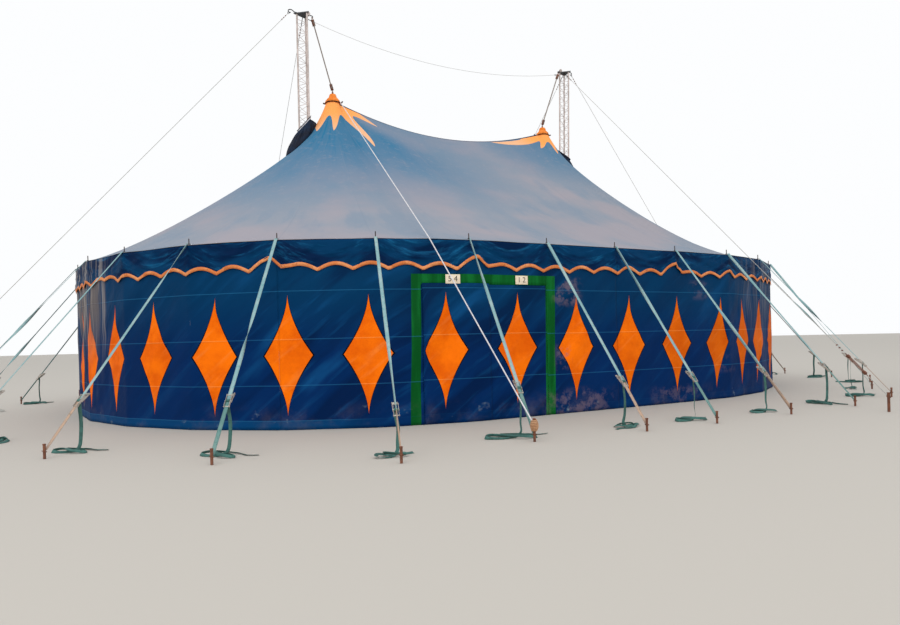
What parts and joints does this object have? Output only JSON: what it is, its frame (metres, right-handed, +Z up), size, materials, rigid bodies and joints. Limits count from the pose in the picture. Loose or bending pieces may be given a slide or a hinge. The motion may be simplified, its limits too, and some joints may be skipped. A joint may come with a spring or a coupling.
{
  "type": "circus tent",
  "caption": "Oval touring circus tent hung from cupolas between two lattice masts, with a scalloped valance, curtain door, side poles, ratchet straps, stakes and stays.",
  "frame": {"origin": "on the ground under the middle of the tent, the centre of its bounding box", "axes": "+X along the ridge between the masts, +Z up, the doorway in the long side that faces -Y"},
  "size_m": [23.8382, 19.244, 9.4401],
  "materials": {
    "roof_canvas": "faded coated canvas",
    "blue_canvas": "coated canvas, satin",
    "poles_and_straps": "steel tubes with woven straps",
    "rusty_steel": "rusty paint",
    "orange_cloth": "coated cloth",
    "mast_steel": "weathered steel",
    "steel_rope": "dull wire rope",
    "dark_cloth": "loose cloth",
    "white_rope": "fibre rope"
  },
  "bodies": {
    "root": {"roof_left": "roof_canvas", "roof_middle": "roof_canvas", "roof_right": "roof_canvas", "valance_front_right": "blue_canvas", "valance_back_right": "blue_canvas", "valance_back_left": "blue_canvas", "valance_front_left": "blue_canvas", "side_poles_front_right": "poles_and_straps", "side_poles_right_front": "poles_and_straps", "side_poles_right_back": "poles_and_straps", "side_poles_back_right": "poles_and_straps", "side_poles_back_left": "poles_and_straps", "side_poles_left_back": "poles_and_straps", "side_poles_left_front": "poles_and_straps", "side_poles_front_left": "poles_and_straps", "wall_front_right": "blue_canvas", "wall_right_front": "blue_canvas", "wall_right_back": "blue_canvas", "wall_back_right": "blue_canvas", "wall_back_left": "blue_canvas", "wall_left_back": "blue_canvas", "wall_left_front": "blue_canvas", "wall_front_left": "blue_canvas", "wall_beside_door": "blue_canvas", "wall_over_door": "blue_canvas", "door_curtain_left": "blue_canvas", "door_curtain_right": "blue_canvas", "cupola_ring_left": "rusty_steel", "cupola_cap_left": "orange_cloth", "mast_left": "mast_steel", "hoist_left": "steel_rope", "mast_sleeve_left": "dark_cloth", "cupola_ring_right": "rusty_steel", "cupola_cap_right": "orange_cloth", "mast_right": "mast_steel", "hoist_right": "steel_rope", "mast_sleeve_right": "dark_cloth", "stay_left_end": "steel_rope", "stay_left_back": "steel_rope", "stay_right_end": "steel_rope", "stay_right_front": "steel_rope", "stay_right_back": "steel_rope", "head_cable": "steel_rope", "roof_rope": "white_rope"}
  },
  "joints": []
}
